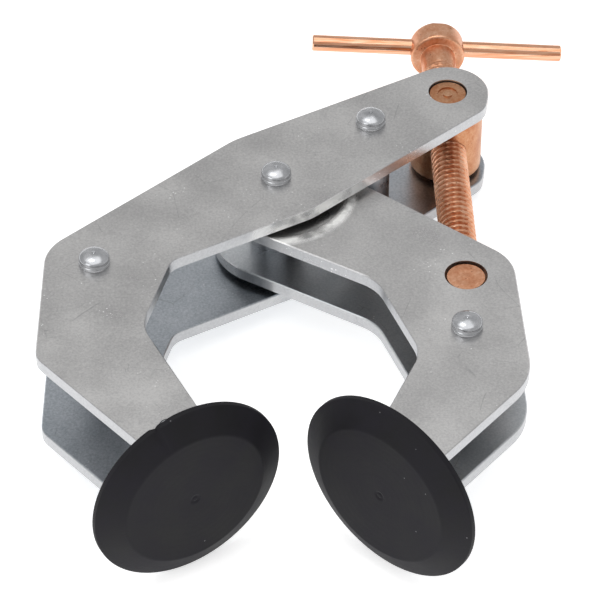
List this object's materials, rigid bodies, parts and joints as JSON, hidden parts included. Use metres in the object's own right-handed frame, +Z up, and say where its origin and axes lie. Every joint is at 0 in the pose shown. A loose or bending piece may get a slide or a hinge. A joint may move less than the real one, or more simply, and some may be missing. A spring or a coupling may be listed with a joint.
{
  "type": "cantilever clamp",
  "caption": "Cantilever C clamp: two riveted plate arms on a pivot, spread by a T-bar screw between trunnions to close two round swivel pads.",
  "frame": {"origin": "middle of the clamp's footprint, on the bench it lies on", "axes": "+X towards the screw side, +Y from the jaws to the T-bar, +Z up; the plates lean 3.5 degrees because the pads prop up the jaw end"},
  "size_m": [0.182, 0.2556, 0.0666],
  "materials": {
    "zinc_plate": "satin zinc plating",
    "bright_rivet": "bright zinc plating",
    "plain_steel": "turned steel",
    "copper_plate": "satin copper plating on steel",
    "black_nylon": "moulded, matte"
  },
  "bodies": {
    "outer_arm": {"outer_plate_upper": "zinc_plate", "outer_plate_lower": "zinc_plate", "pivot_pin": "bright_rivet", "pivot_washer_upper": "plain_steel", "pivot_washer_lower": "plain_steel", "rear_rivet": "bright_rivet", "rear_spacer": "plain_steel", "front_rivet": "bright_rivet", "front_spacer": "plain_steel", "left_jaw_pin": "bright_rivet", "left_jaw_spacer_upper": "plain_steel", "left_jaw_spacer_lower": "plain_steel"},
    "inner_arm": {"inner_plate_upper": "zinc_plate", "inner_plate_lower": "zinc_plate", "pivot_sleeve": "plain_steel", "inner_rivet": "bright_rivet", "inner_spacer": "plain_steel", "right_jaw_pin": "bright_rivet"},
    "nut": {"nut_trunnion": "copper_plate"},
    "end_block": {"end_trunnion": "copper_plate"},
    "screw": {"clamp_screw": "copper_plate", "t_bar": "copper_plate", "thrust_washer": "plain_steel", "end_washer": "plain_steel"},
    "left_jaw": {"left_jaw_block": "copper_plate", "left_pad": "black_nylon"},
    "right_jaw": {"right_jaw_block": "copper_plate", "right_pad": "black_nylon"}
  },
  "joints": [
    {"name": "main_pivot", "type": "hinge", "parent": "outer_arm", "child": "inner_arm", "pos_m": [-0.01421, 0.02409, 0.02528], "axis": [0.0009, -0.0615, -0.9981], "range_deg": [-8, 19.8]},
    {"name": "nut_swivel", "type": "hinge", "parent": "outer_arm", "child": "nut", "pos_m": [0.04632, 0.07111, 0.02244], "axis": [0.0009, -0.0615, -0.9981], "range_deg": [-4.04, 10]},
    {"name": "screw_travel", "type": "slide", "parent": "nut", "child": "end_block", "axis": [0.0327, -0.9976, 0.0615], "range_m": [-0.00831, 0.02058]},
    {"name": "screw_turn", "type": "hinge", "parent": "end_block", "child": "screw", "pos_m": [0.04927, -0.01889, 0.02798], "axis": [0.0327, -0.9976, 0.0615], "range_deg": [-1180, 2918]},
    {"name": "left_pad_swivel", "type": "hinge", "parent": "outer_arm", "child": "left_jaw", "pos_m": [-0.04707, -0.09722, 0.03273], "axis": [-0.0009, 0.0615, 0.9981], "range_deg": [-20.93, 51.79]},
    {"name": "right_pad_swivel", "type": "hinge", "parent": "inner_arm", "child": "right_jaw", "pos_m": [0.02889, -0.09748, 0.03281], "axis": [0.0009, -0.0615, -0.9981], "range_deg": [-15.35, 38]}
  ],
  "couplings": [
    {"joint": "nut_swivel", "follows": "main_pivot", "ratio": 0.5},
    {"joint": "screw_travel", "follows": "main_pivot", "m_per_rad": 0.059485},
    {"joint": "screw_turn", "follows": "main_pivot", "ratio": 147.15},
    {"joint": "left_pad_swivel", "follows": "main_pivot", "ratio": 2.5899},
    {"joint": "right_pad_swivel", "follows": "main_pivot", "ratio": 1.9}
  ]
}
